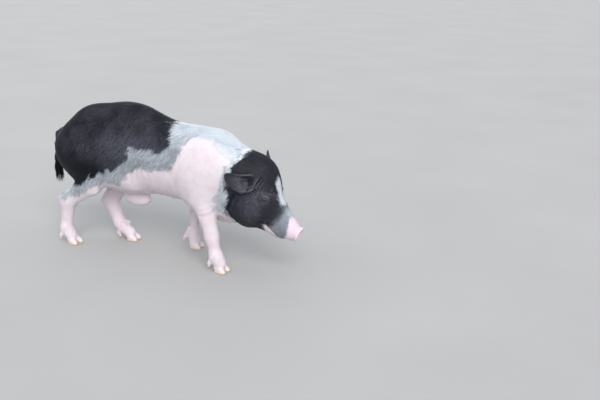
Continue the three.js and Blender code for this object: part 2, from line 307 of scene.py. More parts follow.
def along(x, y, z, path):
    """Distance to a path of places, and how far along it the nearest point is, from 0 to 1."""
    path = np.array(path, np.float32)
    lengths = np.linalg.norm(np.diff(path, axis=0), axis=1)
    starts, total = np.concatenate([[0], np.cumsum(lengths)]), lengths.sum()
    best, share = np.inf, 0.0
    for a, b, start, length in zip(path[:-1], path[1:], starts, lengths):
        way = (b - a) / length
        from_a = (x - a[0], y - a[1], z - a[2])
        t = np.clip(sum(step * part for step, part in zip(from_a, way)), 0, length)
        d = sum((step - t * part) ** 2 for step, part in zip(from_a, way))
        nearer = d < best
        best = np.where(nearer, d, best)
        share = np.where(nearer, (start + t) / total, share)
    return np.sqrt(best), share


def mirrored(path, side):
    return [(x, y * side, z) for x, y, z in path]


def fold(field, depth, width, path, sides=(1, -1)):
    """A groove along a path, fading at its ends, or a ridge if depth is negative."""
    for side in sides:
        run = mirrored(path, side)
        part, (x, y, z) = field.near(run, 3 * width)
        distance, share = along(x, y, z, run)
        fade = np.sin(np.pi * np.clip(share * 0.9 + 0.05, 0, 1)) ** 0.5
        part += depth / 1000 * np.exp(-((distance / width) ** 2)) * fade


def swell(field, at, radii, amount, sides=(1, -1)):
    """Pushes the surface out by amount at a place, fading over the radii."""
    for side in sides:
        cx, cy, cz = at[0], at[1] * side, at[2]
        part, (x, y, z) = field.near([(cx, cy, cz)], 2.2 * np.array(radii))
        d = ((x - cx) / radii[0]) ** 2 + ((y - cy) / radii[1]) ** 2 + ((z - cz) / radii[2]) ** 2
        part -= amount / 1000 * np.exp(-d)


def rounding(a, b, reach):
    """How much two fields are rounded off where they meet, over reach millimetres."""
    h = np.maximum(reach / 1000 - np.abs(a - b), 0) / (reach / 1000)
    return h * h * reach / 4000


def hollow(field, start, end, radius, soft=4.0, sides=(1, -1)):
    """Takes a rounded hole out of the flesh."""
    for side in sides:
        run = mirrored([start, end], side)
        part, (x, y, z) = field.near(run, radius + 2 * soft)
        cut = (radius - along(x, y, z, run)[0]) / 1000
        part[...] = np.maximum(part, cut) + rounding(part, cut, soft)


def limb(field, start, end, first, last, reach=8.0):
    """Joins a round limb that narrows from one radius to another."""
    part, (x, y, z) = field.near([start, end], max(first, last) + 2 * reach)
    distance, share = along(x, y, z, [start, end])
    other = (distance - mix(first, last, share)) / 1000
    part[...] = np.minimum(part, other) - rounding(part, other, reach)


# ---- Ears, with their rims and hollows ----

# The ears' shape, and how each stands on the head.
EAR = {"length": 114, "width": 88, "thick": 7.4, "cup": 0.5, "curl": 10, "roll": 78, "hang": 15}
EARS = {
    "left": {"side": 1, "root": (262, 84, 423), "back": 124, "rise": 11},
    "right": {"side": -1, "root": (260, -88, 405), "back": 141, "rise": 7},
}


def turned(axis, degrees):
    return Matrix.Rotation(math.radians(degrees), 4, axis)


def closed_tube(rings):
    """Points and triangles of a tube of rings, an array of rings by sides by 3, closed at both ends."""
    count, sides = rings.shape[:2]
    points = np.concatenate([rings.reshape(-1, 3), rings[0].mean(0)[None], rings[-1].mean(0)[None]])
    ring, side = np.meshgrid(np.arange(count - 1), np.arange(sides), indexing="ij")
    a, b = (ring * sides + side).ravel(), (ring * sides + (side + 1) % sides).ravel()
    walls = np.concatenate([np.stack([a, b, b + sides], 1), np.stack([a, b + sides, a + sides], 1)])
    edge = np.arange(sides)
    after = (edge + 1) % sides
    last = (count - 1) * sides
    first_cap = np.stack([after, edge, np.full(sides, count * sides)], 1)
    last_cap = np.stack([last + edge, last + after, np.full(sides, count * sides + 1)], 1)
    return points, np.concatenate([walls, first_cap, last_cap])


def ear(side, root, back, rise):
    """A cupped leaf with a rolled upper rim, as points and triangles of the frame."""
    stations, across = 44, 41
    v = np.linspace(-1, 1, across)
    rings = []
    for t in np.linspace(-0.16, 1, stations):
        outline = math.sin(math.pi * min(0.5, 0.34 + t * 0.42)) * math.sqrt(1 - max(t, 0) ** 2.2)
        half = EAR["width"] / 2 * outline
        slope = np.arctan(2 * EAR["cup"] * (1 - 0.55 * t) * v)
        slope += (2.2 - 1.7 * t) * np.clip((v - 0.60) / 0.40, 0, 1) ** 1.2
        slope += 0.35 * np.clip((-v - 0.7) / 0.3, 0, 1)
        step = half * (v[1] - v[0])
        y = np.concatenate([[0], np.cumsum(np.cos(slope[:-1] + np.diff(slope) / 2) * step)])
        z = np.concatenate([[0], np.cumsum(np.sin(slope[:-1] + np.diff(slope) / 2) * step)])
        y -= y[across // 2]
        z -= z[across // 2] + half * 0.3
        fade = math.sin(math.pi * min(max(t, 0) / 0.8, 1)) ** 0.7
        for ridge in (-0.42, -0.08, 0.28):
            z += 2.6 * np.exp(-(((v - ridge - 0.1 * t) / 0.085) ** 2)) * fade
        y += EAR["hang"] * (t - math.sin(math.pi * t))
        z += EAR["curl"] * t * t - 17 * max(1 - (t + 0.16) / 0.36, 0) ** 1.6
        thick = EAR["thick"] / 2 * (1 - 0.12 * t) * np.sqrt(np.clip(1 - np.abs(v) ** 14, 0.5, 1))
        upper, lower = (
            np.stack([np.full(across, t * EAR["length"]), (y - k * thick * np.sin(slope)) * side,
                      z + k * thick * np.cos(slope)], 1)
            for k in (1, -1)
        )
        rings.append(np.concatenate([upper, lower[::-1]]))
    basis = turned("Z", side * back) @ turned("Y", -rise) @ turned("X", side * EAR["roll"])
    points, faces = closed_tube(np.array(rings))
    points = points @ np.array(basis.to_3x3()).T + np.array(root)
    return framed(points), faces[:, ::side]


# ---- The skin's field ----

LEGS = ["foreleg_right", "foreleg_left", "hindleg_right", "hindleg_left"]
CLAWS = [n for n in NODES if n.startswith("claw")]
DEWCLAWS = [n for n in NODES if n.startswith("dewclaw")]

# Each fold is its depth, its width and its path.
HEAD_FOLDS = [
    (9.5, 8.0, [(193, 107, 345), (180, 103, 321), (169, 97, 302), (150, 84, 273), (137, 68, 249)]),
    (8.0, 5.0, [(205, 128, 447), (220, 120, 452), (238, 106, 452), (254, 92, 446), (268, 84, 432)]),
    (8.5, 5.4, [(268, 92, 388), (254, 101, 376), (238, 107, 364), (214, 108, 353)]),
    (6.2, 4.2, [(292, 70, 416), (278, 83, 392), (272, 88, 372)]),
    (5.0, 3.8, [(283, 77, 426), (274, 86, 404), (266, 92, 384)]),
    (5.4, 3.8, [(303, 64, 412), (290, 77, 390), (282, 86, 370), (279, 92, 350)]),
    (3.6, 3.4, [(240, 104, 352), (256, 100, 344), (270, 96, 330), (276, 92, 312)]),
    (3.2, 4.0, [(222, 108, 338), (214, 108, 310), (214, 106, 284)]),
    (3.0, 4.0, [(262, 98, 318), (268, 94, 292), (284, 84, 272), (300, 74, 262)]),
    (4.9, 3.8, [(280, 90, 352), (288, 88, 359), (300, 80, 363), (316, 65, 364), (332, 49, 358),
                (343, 38, 342), (349, 32, 322)]),
    (3.0, 4.0, [(298, 68, 244), (322, 55, 230), (336, 47, 226)]),
    (2.7, 4.0, [(290, 74, 262), (312, 62, 254), (334, 50, 250)]),
    (6.8, 3.4, [(300, 62, 226), (313, 54, 214), (330, 44, 196), (346, 33, 176), (356, 20, 166),
                (360, 0, 163)]),
    # the throat's flap
    (3.0, 4.0, [(150, 24, 203), (138, 40, 232), (132, 52, 252)]),
    (3.0, 4.0, [(132, 20, 192), (122, 40, 216), (118, 56, 240)]),
    (3.0, 4.0, [(114, 18, 186), (106, 38, 206), (104, 56, 226)]),
]
TRUNK_FOLDS_RIGHT = [
    (4.0, 12.0, [(-73, -121, 339), (-58, -136, 398), (-33, -137, 453)]),
    (5.0, 8.0, [(-473, -75, 250), (-430, -95, 275), (-389, -109, 301), (-363, -104, 292), (-345, -70, 250)]),
    (5.6, 6.5, [(-282, -127, 386), (-290, -124, 352), (-287, -112, 306)]),
    (5.0, 6.0, [(-258, -128, 396), (-262, -124, 360), (-254, -110, 322)]),
    (4.6, 6.0, [(-238, -129, 403), (-240, -124, 372), (-233, -112, 330)]),
    (2.8, 6.0, [(-216, -130, 410), (-206, -126, 384), (-198, -118, 346)]),
    (2.4, 7.0, [(-186, -130, 400), (-160, -126, 360), (-146, -116, 316)]),
    (2.6, 6.5, [(30, -122, 238), (71, -126, 243), (98, -105, 255)]),
    (1.8, 6.0, [(24, -124, 256), (64, -130, 262), (92, -112, 276)]),
]


def feet_field():
    """Flesh that runs down over the tops of the claws and the roots of the dewclaws."""
    claws = Field.of(solids(*CLAWS))
    z = claws.everywhere()[2]
    claws.values += np.float32(-0.0014) + np.float32(0.02) * (1 - smooth(2, 14, z))
    for name in DEWCLAWS:
        low, high = drawn_box(name)
        root = Field.of(solids(name))
        z = root.everywhere()[2]
        level = low[2] + 0.34 * (high[2] - low[2])
        root.values += np.float32(-0.0012) + np.float32(0.02) * (1 - smooth(level - 6, level + 8, z))
        claws.joined_to(root, 0.002)
    return claws


def flesh_field():
    flesh = Field.of(solids("trunk", "neck", "head", "sheath", "eye_left", "eye_right", *LEGS))
    x, _, z = flesh.everywhere()
    near = flesh.blurred(6.0)
    far = near.blurred(11.0)
    trunk = smooth(250, 330, z) * (1 - smooth(60, 190, x))
    depth = mix(0.0008, 0.0030, smooth(150, 330, z) * (1 - smooth(200, 300, x)))
    flesh.values = (mix(near.values, far.values, trunk) + depth).astype(np.float32)
    for name, sigma in (("tail", 2.2), ("snout", 1.6)):
        flesh.joined_to(Field.of(solids(name)).blurred(sigma), JOIN)
    flesh.joined_to(feet_field(), JOIN)
    for name in DEWCLAWS:  # the skin runs down to each dewclaw
        low, high = drawn_box(name)
        x, y, z = (low + high) / 2
        limb(flesh, (x + 24, y, high[2] + 30), (x + 1, y, z + 5), 11.0, 7.6)
    for at in ((250, 99, 398), (238, 106, 390)):  # the dip under the ear
        swell(flesh, at, (17, 22, 17), -7.5)
    for one in EARS.values():
        flesh.joined_to(Field.of([ear(**one)]).blurred(1.5), JOIN)
    swell(flesh, (254, 99, 401), (11, 16, 13), -7.0)  # the ear's pit
    for side, z in ((-1, 371), (1, 389)):  # the ear's lobe runs into the cheek
        limb(flesh, (228, 118 * side, z - 6), (274, 80 * side, z + 8), 6.0, 6.5, 12.0)
    model_head(flesh)
    model_trunk(flesh)
    return flesh


def model_head(flesh):
    swell(flesh, (311, 74, 341), (28, 20, 17), 4.0)  # the lids' bulge
    for depth, width, path in HEAD_FOLDS:
        fold(flesh, depth, width, path)
    # brow, cheek and jowl
    swell(flesh, (322, 52, 372), (26, 20, 12), 3.0)
    swell(flesh, (270, 92, 330), (26, 20, 30), 2.5)
    swell(flesh, (208, 96, 262), (30, 24, 26), 3.5)
    # the snout's plate: a rim, a groove behind it, wrinkles over the bridge and the nostrils
    for depth, width, ring in (
        (-2.2, 4.0, (2.0, 33.0)),
        (2.6, 4.0, (-9.0, 32.0)),
        (1.6, 3.6, (-20.0, 33.0, 40, 140)),
        (1.4, 3.6, (-31.0, 34.0, 45, 135)),
    ):
        fold(flesh, depth, width, plate_ring(*ring), [1])
    for side in (1, -1):
        hollow(flesh, plate_place(3, 13.0 * side, -3), plate_place(-16, 9.5 * side, 3), 6.6, 3.0, [1])
        hollow(flesh, plate_place(3, 15.0 * side, 1), plate_place(-12, 10.5 * side, 5), 5.0, 3.0, [1])
    swell(flesh, plate_place(0, 0, 22), (9, 9, 9), 1.5, [1])


# The middle of the snout's plate, and its axes.
PLATE = np.array((434.0, 0.0, 183.0))
PLATE_OUT = np.array((0.923, 0.0, -0.384))
PLATE_UP = np.array((0.384, 0.0, 0.923))


def plate_place(out, left, up):
    return tuple(PLATE + PLATE_OUT * out + np.array((0, left, 0)) + PLATE_UP * up)


def plate_ring(out, radius, first=0, last=360):
    """Places on a ring round the snout, between two angles."""
    turns = [math.radians(degrees) for degrees in range(first, last + 1, 15)]
    return [plate_place(out, radius * math.cos(turn), radius * math.sin(turn)) for turn in turns]


def model_trunk(flesh):
    for depth, width, path in TRUNK_FOLDS_RIGHT:
        fold(flesh, depth, width, path, [1])
        fold(flesh, depth * 0.8, width, [(x - (230 if x > 0 else 0), -y, z) for x, y, z in path], [1])
    swell(flesh, (0, 132, 400), (70, 40, 70), 3.5)  # shoulder
    swell(flesh, (-560, 138, 430), (90, 40, 80), 4.0)  # ham
    swell(flesh, (-330, 132, 480), (60, 40, 60), -2.0)  # flank
    for x in range(-60, -421, -60):  # teats
        for side in (1, -1):
            hit = down_to(flesh, x + 6 * side, 46 * side)
            if hit is not None:
                swell(flesh, hit, (5.0, 5.0, 7.0), 5.5, [1])
    # under the tail, and the end of the sheath
    hollow(flesh, (-748, 0, 498), (-735, 0, 498), 3.5, 6.0, [1])
    swell(flesh, (-724, 24, 405), (34, 20, 42), 8.0)
    hollow(flesh, (-260, 0, 217), (-274, 0, 214), 3.5, 4.0, [1])


def down_to(flesh, x, y):
    """The place of the belly's skin at this point of the floor plan, or None where there is none."""
    zs = np.arange(150.0, 330.0)
    inside = flesh.sample(framed(np.stack([np.full(len(zs), x), np.full(len(zs), y), zs], 1))) < 0
    if not inside.any():
        return None
    first = zs[inside][0]
    return (x, y, first) if first > 190 else None


FLESH = flesh_field()


# ---- Eyes ----

BALL = 12.0
CORNEA = 0.9  # how far it stands out of the ball
EYE_AT = (313.0, 71.0, 340.0)
EYE_IN = 3.0  # from there, how much further in the ball's centre is
LID = 2.0
SLIT_END, SLIT_UP, SLIT_DOWN = 50.0, 12.0, 9.0  # degrees from the slit's middle
LIDS_REACH = 62.0


def eye_frame(side):
    """The eyeball's centre and its axes: out, along the slit to the front, and up."""
    out = np.array((0.56, 0.80 * side, 0.16))
    out /= np.linalg.norm(out)
    front = np.array((0.72, -0.45 * side, -0.48))
    front -= out * front.dot(out)
    front /= np.linalg.norm(front)
    up = np.cross(out, front) * (1 if side > 0 else -1)
    return np.array((EYE_AT[0], EYE_AT[1] * side, EYE_AT[2])) - EYE_IN * out, np.stack([out, front, up])


def eyeball(side):
    centre, axes = eye_frame(side)
    rings, sides = 40, 56
    points = []
    for k in range(1, rings):
        angle = math.pi * k / rings
        radius = BALL + CORNEA * math.exp(-((angle / 0.55) ** 4))
        for j in range(sides):
            turn = 2 * math.pi * j / sides
            around = math.cos(turn) * axes[1] + math.sin(turn) * axes[2]
            points.append(centre + radius * (math.cos(angle) * axes[0] + math.sin(angle) * around))
    tube, faces = closed_tube(np.array(points).reshape(rings - 1, sides, 3))
    tube[-2], tube[-1] = centre + (BALL + CORNEA) * axes[0], centre - BALL * axes[0]
    name = "eyeball_left" if side > 0 else "eyeball_right"
    piece = new_piece(name, framed(tube), faces[:, ::-side])
    ahead = (tube - centre) @ axes[0] / np.linalg.norm(tube - centre, axis=1)
    add_value(piece, "angle", np.degrees(np.arccos(np.clip(ahead, -1, 1))))
    return piece


def add_value(piece, name, values):
    attribute = piece.data.attributes.new(name, "FLOAT", "POINT")
    attribute.data.foreach_set("value", np.asarray(values, np.float32))


# Each is its depth, its width and its path, in offsets from the eye's centre along the slit and up.
LID_FOLDS = [
    (2.4, 1.8, [(-17, -1), (-10, 7.5), (0, 9.5), (10, 6.5), (16, 0)]),
    (2.2, 2.0, [(-22, 2), (-13, 13), (0, 16), (12, 12), (20, 3)]),
    (2.6, 2.6, [(-28, 8), (-18, 20), (-2, 24), (14, 19), (26, 8)]),
    (2.4, 1.8, [(-15, -4), (-7, -9), (2, -10), (10, -7), (15, -2)]),
    (2.6, 2.0, [(-19, -7), (-10, -14.5), (2, -16), (12, -12), (19, -4)]),
    (3.6, 2.4, [(-22, -13), (-13, -22), (0, -25), (12, -21), (21, -12), (25, -2)]),
    (3.8, 2.6, [(-20, -26), (-8, -34), (8, -34), (21, -27), (30, -14), (33, 0)]),
    (2.6, 2.8, [(-12, -43), (6, -46), (24, -38), (37, -22), (41, -6)]),
    (1.8, 1.6, [(-18, 2), (-26, 3), (-34, 0)]),
    (1.6, 1.6, [(-18, -1), (-27, -5), (-33, -12)]),
    (1.6, 1.6, [(-17, 5), (-25, 10), (-32, 12)]),
    (1.8, 1.8, [(17, -3), (24, -5), (30, -3)]),
    (1.6, 2.0, [(2, -28), (8, -31), (14, -29)]),
]


def lids(points):
    """Moves places near the eyes on to the lids, or behind the eyeball in the slit; finds the creases too."""
    points, creases = points.copy(), np.zeros(len(points))
    for side in (1, -1):
        centre, axes = eye_frame(side)
        near = np.linalg.norm(points - centre, axis=1) < LIDS_REACH
        at = points[near] - centre
        far = np.linalg.norm(at, axis=1)
        out, front, up = (at / far[:, None] @ axes.T).T
        angle = np.degrees(np.arccos(np.clip(out, -1, 1)))
        a, b = np.degrees(np.arctan2(front, out)), np.degrees(np.arctan2(up, out))
        half = np.where(b > 0.0, SLIT_UP, SLIT_DOWN) * (1 - np.clip(np.abs(a) / SLIT_END, 0, 1) ** 2.0)
        half *= np.abs(a) < SLIT_END
        gap = half - np.abs(b - 3)  # degrees inside the slit
        lid = BALL + LID + 0.7 * np.exp(-(((gap + 9) / 5.0) ** 2))  # a thicker edge
        inside = smooth(-1.5, 4.0, gap) * (angle < 80)
        lid = mix(lid, BALL - 2.2, inside)
        share = 1 - smooth(40, 80, angle)
        radius = np.maximum(mix(far, lid, np.maximum(share, inside)), np.where(inside > 0, 0, BALL + 1.6))
        moved = centre + at * (radius / far)[:, None]
        u, v = at @ axes[1], at @ axes[2]
        pushed = np.zeros(len(at))
        for depth, width, path in LID_FOLDS:
            distance, along_it = along(u, v, np.zeros_like(u), [(p, q, 0) for p, q in path])
            fade = np.sin(np.pi * np.clip(along_it * 0.92 + 0.04, 0, 1)) ** 0.6 * (out > 0)
            pushed += depth * np.exp(-((distance / width) ** 2)) * fade
        points[near] = moved - axes[0] * pushed[:, None]
        # how deep in a lid's fold, for painted shade in the folds; lower round the eye, which lightens the
        # skin there
        creases[near] = 0.6 * pushed - 0.4 * np.exp(-((far / 32) ** 2))
    return points, creases


# ---- The skin ----

def settled(points, height=0.0, times=2):
    """Points of the frame moved to this height above the flesh."""
    for _ in range(times):
        points = points - FLESH.slope(points) * (FLESH.sample(points) - height)[:, None]
    return points


BODY_TRIANGLES, HEAD_TRIANGLES, HORN_TRIANGLES = 56_000, 66_000, 24_000
EYES_REACH = 48.0  # the mesh isn't thinned nearer to the eyes


def kept_fine(places):
    """Whether a place is on the head or the feet, where the mesh stays finer."""
    x, _, z = places.T
    head = (x > 205 - 0.25 * np.maximum(z - 300, 0)) & (z > 120) & (x > 150)
    return head | (z < 60)


def to_eye(places):
    """How far places are from the nearer eye."""
    return np.minimum(*(np.linalg.norm(places - eye_frame(side)[0], axis=1) for side in (1, -1)))


def thinned(piece, steps):
    """Fewer triangles: each step is a name, the vertices that may go and how many triangles they keep."""
    total = len(triangles_of(piece.data))
    for name, chosen, kept in steps:
        group = piece.vertex_groups.new(name=name)
        group.add(np.flatnonzero(chosen).tolist(), 1.0, "REPLACE")
        inside = chosen[triangles_of(piece.data)].all(1).sum()
        thin = piece.modifiers.new(name, "DECIMATE")
        thin.vertex_group = name
        thin.ratio = (total - inside + kept) / total
        total += kept - inside
    mesh = bpy.data.meshes.new_from_object(piece.evaluated_get(bpy.context.evaluated_depsgraph_get()))
    piece.modifiers.clear()
    piece.vertex_groups.clear()
    piece.data = mesh


def divided(mesh, reach):
    """Splits the edges near the eyes."""
    bm = bmesh.new()
    bm.from_mesh(mesh)
    centres = [Vector(place(*eye_frame(side)[0])) for side in (1, -1)]
    edges = [e for e in bm.edges if min((e.verts[0].co - c).length for c in centres) < reach / 1000]
    bmesh.ops.subdivide_edges(bm, edges=edges, cuts=1, use_grid_fill=True)
    bmesh.ops.triangulate(bm, faces=bm.faces)
    bm.to_mesh(mesh)
    bm.free()


def skin_mesh():
    """The skin, and how deep in a crease of the lids each of its vertices is."""
    points, faces = FLESH.surface()
    piece = new_piece("skin", points, faces)
    places = drawn(points_of(piece.data))
    fine = kept_fine(places)
    thinned(piece, [
        ("body", ~fine, BODY_TRIANGLES),
        ("head", fine & (to_eye(places) >= EYES_REACH), HEAD_TRIANGLES),
    ])
    mesh = piece.data
    for reach in (46.0, 27.0):
        divided(mesh, reach)
    found, creases = lids(drawn(settled(points_of(mesh))))
    mesh.vertices.foreach_set("co", framed(found).astype(np.float32).ravel())
    mesh.polygons.foreach_set("use_smooth", np.full(len(mesh.polygons), True))
    mesh.update()
    return piece, creases


def horn_mesh():
    """The claws and dewclaws, rounded, flat where they stand."""
    horn = Field.of(solids(*CLAWS, *DEWCLAWS), 0.00125).blurred(1.3)
    z = horn.everywhere()[2]
    horn.values = np.maximum(horn.values - np.float32(0.0003), (-z / 1000).astype(np.float32))
    points, faces = horn.surface()
    points[:, 2] = np.where(points[:, 2] < 0.0006, 0.0, points[:, 2])
    piece = new_piece("horn", points, faces)
    thinned(piece, [("all", np.full(len(points), True), HORN_TRIANGLES)])
    return piece


# ---- Where the coat is black, grey or white ----

# Outlines in the side view: how far ahead and how high.
BLACK_RIGHT = [
    (-136, 582), (-107, 551), (-106, 523), (-123, 488), (-154, 473), (-198, 479), (-249, 469), (-278, 478),
    (-287, 486), (-296, 443), (-327, 409), (-378, 371), (-432, 350), (-475, 332), (-540, 290), (-640, 262),
    (-760, 270), (-900, 270), (-900, 900), (-136, 900),
]
BLACK_LEFT = [
    (-136, 582), (-100, 540), (-95, 480), (-140, 430), (-220, 445), (-300, 420), (-350, 390), (-430, 340),
    (-480, 310), (-540, 280), (-640, 255), (-760, 262), (-900, 262), (-900, 900), (-136, 900),
]
DARK_RIGHT = [
    (44, 566), (21, 563), (-14, 544), (-35, 517), (-60, 480), (-89, 433), (-108, 413), (-163, 401),
    (-196, 413), (-231, 409), (-289, 383), (-360, 309), (-410, 322), (-439, 312), (-479, 287), (-540, 250),
    (-640, 222), (-760, 235), (-900, 235), (-900, 900), (44, 900),
]
HEAD_BLACK = [
    (230, 520), (212, 490), (187, 470), (178, 441), (163, 366), (155, 311), (140, 262), (150, 235),
    (181, 222), (229, 204), (286, 195), (312, 206), (329, 192), (372, 160), (400, 150), (470, 238),
    (410, 300), (400, 520),
]
HEAD_DARK = [
    (225, 540), (203, 502), (177, 495), (167, 465), (130, 371), (111, 320), (103, 268), (114, 235),
    (150, 225), (181, 216), (229, 196), (286, 188), (312, 198), (329, 184), (372, 150), (400, 150),
    (470, 238), (410, 300), (400, 540),
]
DARK_MARGIN = 40.0  # how wide the grey band is on the left side
EAR_MARGIN = 6.0  # and on the ears
FACE = 275.0  # the face is ahead of this
SURE = 99.0  # well inside or outside any edge
# Edges along the head: how far ahead, then how high.
MOUTH = [(302, 226), (311, 220), (328, 197), (346, 174), (354, 160), (372, 156)]
FLAP_EDGE = [(60, 245), (114, 243), (150, 228), (190, 205)]
# Edges that run up the face: height, then how far ahead or to the left the edge is.
BLAZE_RIGHT = [(205, -48), (252, -37), (294, -30), (324, -22), (343, -19), (374, -27), (387, -31),
               (397, -24), (409, -4), (420, 12)]
BLAZE_LEFT = [(205, 48), (264, 32), (306, 24), (343, 17), (375, 14), (390, 9), (406, 4), (420, -12)]
SNOUT_EDGE = [(150, 372), (173, 384), (198, 394), (215, 398), (245, 399)]
ROAN_EDGE = [(180, 302), (216, 297), (236, 304), (250, 316), (263, 327), (280, 341), (292, 354),
             (306, 354), (324, 360), (340, 400)]


def within(x, z, outline):
    """Distance inside a closed outline in the side view, negative outside."""
    outline = np.array(outline, float)
    best = np.full(x.shape, 1e9)
    inside = np.zeros(x.shape, bool)
    for (ax, az), (bx, bz) in zip(outline, np.roll(outline, -1, axis=0)):
        dx, dz = bx - ax, bz - az
        t = np.clip(((x - ax) * dx + (z - az) * dz) / (dx * dx + dz * dz), 0, 1)
        best = np.minimum(best, (x - ax - t * dx) ** 2 + (z - az - t * dz) ** 2)
        if az != bz:
            inside ^= ((az > z) != (bz > z)) & (x < ax + dx * (z - az) / dz)
    return np.sqrt(best) * np.where(inside, 1, -1)


def noise(places, size, seed=0):
    """Smooth noise from 0 to 1 with lumps of this size in millimetres."""
    at = np.asarray(places, float) / size + seed * 17.3
    base = np.floor(at)
    part = at - base
    part = part * part * (3 - 2 * part)
    total = np.zeros(len(at))
    for step in CUBE:
        hashed = np.sin((base + step) @ np.array([127.1, 311.7, 74.7]) + seed) * 43758.5453
        share = np.prod(np.where(step, part, 1 - part), axis=1)
        total += share * (hashed - np.floor(hashed))
    return total


def across(at, edge):
    return np.interp(at, *np.array(edge, float).T)


def markings(places):
    """Distances inside the black, dark and snout, and shares from 0 to 1 of bare skin and bluish white."""
    x, y, z = places.T
    both, either = np.minimum, np.maximum
    left = smooth(-45, 45, y)
    on_left = within(x, z, BLACK_LEFT)
    inner = np.where(x > -660, either(np.abs(y) - 58, z - 345), SURE)  # none between the hind legs
    black = both(mix(within(x, z, BLACK_RIGHT), on_left, left), inner)
    dark = both(mix(within(x, z, DARK_RIGHT), on_left + DARK_MARGIN, left), inner + 12)
    eared = both(both(np.abs(y) - 108, z - 352), x - 150)
    blaze = both(y - across(z, BLAZE_RIGHT), across(z, BLAZE_LEFT) - y)
    blaze = np.where((x > 285) & (z > 205), blaze, -SURE)
    lip = both(across(x, MOUTH) - 3 - z, x - 299)
    snout = x - across(z, SNOUT_EDGE)
    grey = np.where(x > 280, x - across(z, ROAN_EDGE), -SURE)
    head_black = both(either(within(x, z, HEAD_BLACK), eared), -either(either(blaze, lip), snout))
    head_black = both(head_black, -grey)
    head_dark = both(either(within(x, z, HEAD_DARK), eared + EAR_MARGIN), -either(lip, snout))
    head_dark = both(head_dark, np.where(x < 190, z - across(x, FLAP_EDGE), SURE))
    white = smooth(282, 306, z)  # lower down, the blaze turns grey
    head_dark = both(head_dark, 4 - blaze + 90 * (1 - white))
    all_black = either(black, head_black)
    return {
        "black": all_black,
        "dark": either(either(dark, head_dark), all_black),
        "bare": either(smooth(-4, 6, snout), 0.6 * smooth(-2, 8, lip)),
        "cool": either(smooth(-4, 6, blaze) * white, smooth(16, 50, crest(places))),
        "snout": snout,
    }


def crest(places):
    """How far inside the bluish white of the neck's crest a place is."""
    x, y, z = places.T
    return np.where((x < 240) & (x > -220), 95 - np.abs(y + 6) + 0.5 * (z - 520), -SURE)


def roan(places):
    """How light the grey of the face is, from 0 to 1."""
    x, y, z = places.T
    bridge = (1 - smooth(2, 42, np.abs(y))) * smooth(236, 280, z)
    edge = smooth(16, 62, x - across(z, ROAN_EDGE) + 0.9 * np.clip(228 - z, 0, 30))
    return mix(0.03, 0.37, edge) + 0.28 * bridge + 0.25 * smooth(290, 310, z) * (np.abs(y) < 30)


SKIN, LID_CREASE = skin_mesh()
for name in ["trunk", "neck", "head", "sheath", "ear_left", "ear_right", "tail", "snout", *LEGS]:
    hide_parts(name)
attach(SKIN, "root")
HORN = horn_mesh()
for name in CLAWS + DEWCLAWS:
    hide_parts(name)
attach(HORN, "root")
BALLS = [eyeball(side) for side in (1, -1)]
for ball, node in zip(BALLS, ("eye_left", "eye_right")):
    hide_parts(node)
    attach(ball, "root")


# ---- The skin's values and its unwrap ----

def unwrap(piece):
    bpy.context.view_layer.objects.active = piece
    piece.select_set(True)
    bpy.ops.object.mode_set(mode="EDIT")
    bpy.ops.mesh.select_all(action="SELECT")
    bpy.ops.uv.smart_project(angle_limit=1.15, island_margin=0.002, scale_to_bounds=True)
    bpy.ops.object.mode_set(mode="OBJECT")
    piece.select_set(False)
    return read(piece.data.uv_layers.active.data, "uv", 2).reshape(-1, 3, 2).astype(np.float64)


def ear_share(places):
    x, y, z = places.T
    return smooth(100, 116, np.abs(y)) * (z > 350) * (x > 160)


def inner_side(places, normals):
    """How far a place faces the way that the ears open."""
    return 0.55 * normals[:, 0] + 0.75 * normals[:, 1] * np.sign(places[:, 1]) - 0.3 * normals[:, 2]


def crease(points):
    """Above 0 in a groove and below 0 on a ridge: 1 is a groove of about 4 mm radius."""
    around = np.zeros(len(points))
    for axis in range(3):
        for way in (-0.005, 0.005):
            shift = np.zeros(3)
            shift[axis] = way
            around += FLESH.sample(points + shift) / 6
    return np.clip((FLESH.sample(points) - around) * 1000, -2, 2)


def skin_values():
    points = points_of(SKIN.data)
    places = drawn(points)
    marks = markings(places)
    for name in ("black", "dark", "bare", "cool"):
        add_value(SKIN, name, np.clip(marks[name], -60, 60))
    add_value(SKIN, "tone", np.where(places[:, 0] > FACE, roan(places), 0.42))
    ears = ear_share(places)
    # the crease value, for painted shade in the grooves and painted highlight on the ridges
    add_value(SKIN, "crease", crease(points) * (1 - 0.85 * ears) + LID_CREASE)
    inner = ears * smooth(0.0, 0.5, inner_side(places, FLESH.slope(points)))
    inner *= 1 - 0.8 * smooth(116, 150, np.abs(places[:, 1]))
    add_value(SKIN, "soft", np.maximum(np.exp(-((to_eye(places) / 26) ** 2)), inner * 0.7))


skin_values()
SKIN_UV = unwrap(SKIN)


# ---- Materials ----

